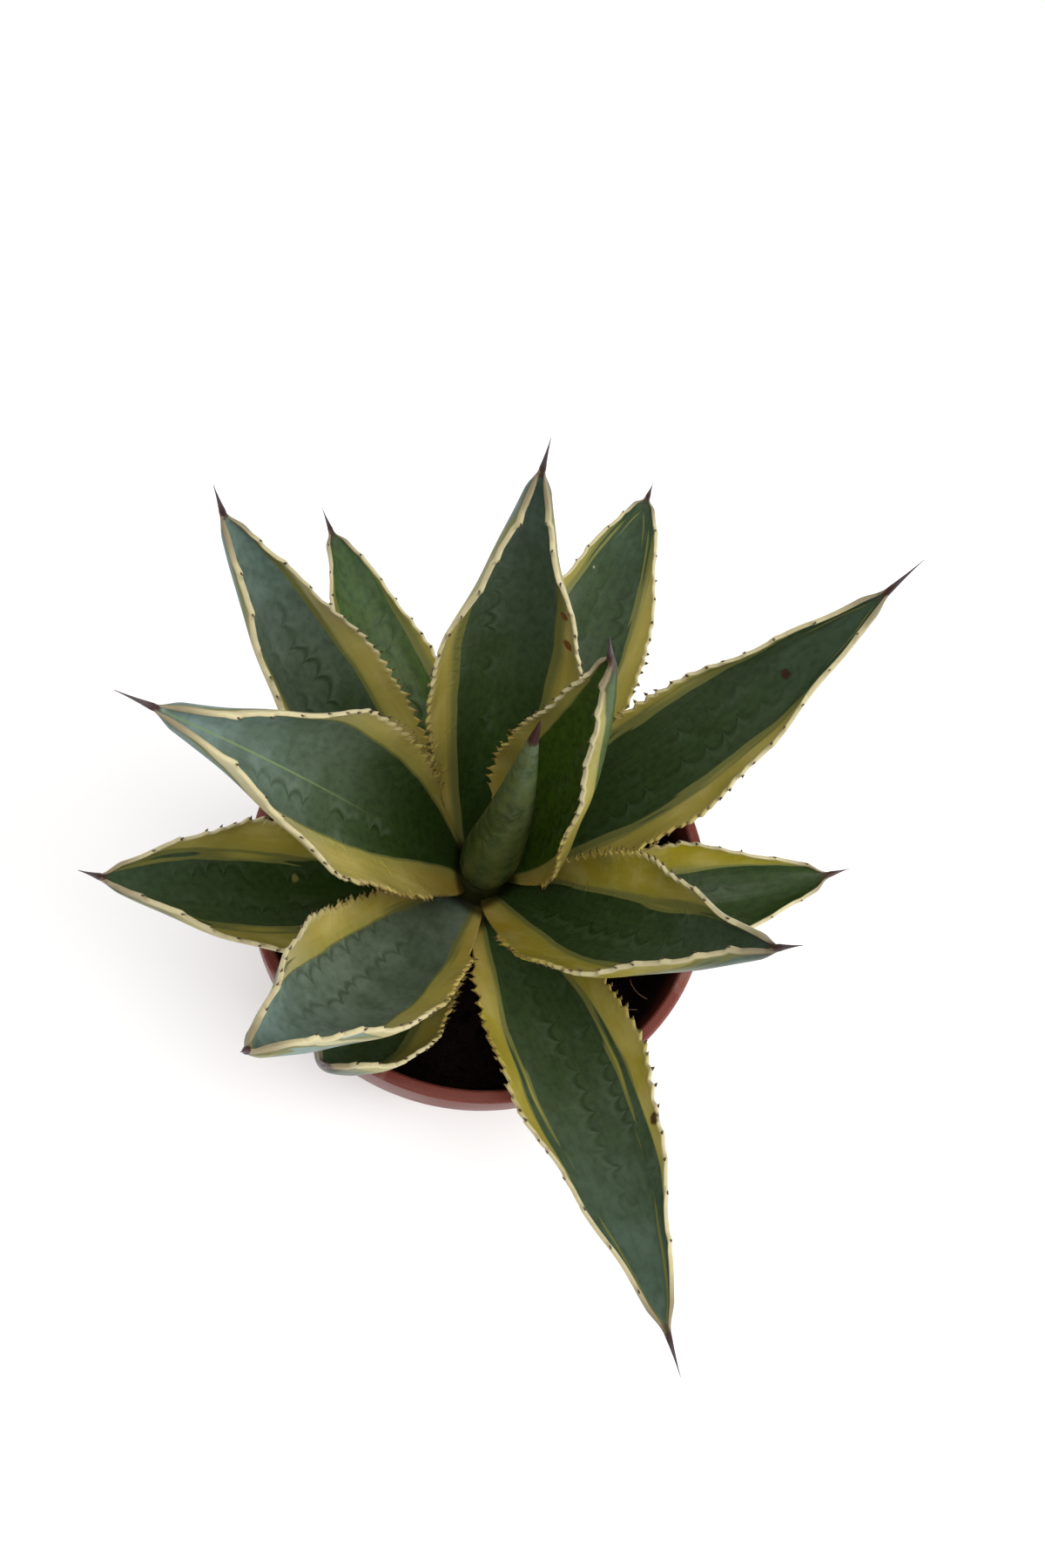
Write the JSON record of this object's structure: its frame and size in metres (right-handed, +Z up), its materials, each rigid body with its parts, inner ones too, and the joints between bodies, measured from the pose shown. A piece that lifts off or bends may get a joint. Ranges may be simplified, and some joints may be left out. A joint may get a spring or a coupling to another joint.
{
  "type": "potted agave",
  "caption": "Young variegated agave rosette with toothed, spine-tipped leaves, growing in soil in a round tapered plastic pot with a rim band.",
  "frame": {"origin": "centre of the pot's underside, on the axis that the pot and the plant share", "axes": "+Z up along the pot's axis, +Y away from a person who looks at the plant as it is best seen, +X to that person's right"},
  "size_m": [0.2844, 0.3838, 0.3567],
  "materials": {
    "pot_plastic": "moulded plastic, terracotta red, satin",
    "potting_soil": "damp peat and bark mix, very dark",
    "stem_flesh": "pale leaf bases, matte",
    "spear_skin": "waxy grey-green skin",
    "leaf_skin": "waxy skin, dark green with cream and yellow margins"
  },
  "bodies": {
    "root": {"pot": "pot_plastic", "potting_soil": "potting_soil", "stem": "stem_flesh", "spear": "spear_skin", "leaf_01": "leaf_skin", "leaf_02": "leaf_skin", "leaf_03": "leaf_skin", "leaf_04": "leaf_skin", "leaf_05": "leaf_skin", "leaf_06": "leaf_skin", "leaf_07": "leaf_skin", "leaf_08": "leaf_skin", "leaf_09": "leaf_skin", "leaf_10": "leaf_skin", "leaf_11": "leaf_skin", "leaf_12": "leaf_skin", "leaf_13": "leaf_skin"}
  },
  "joints": []
}
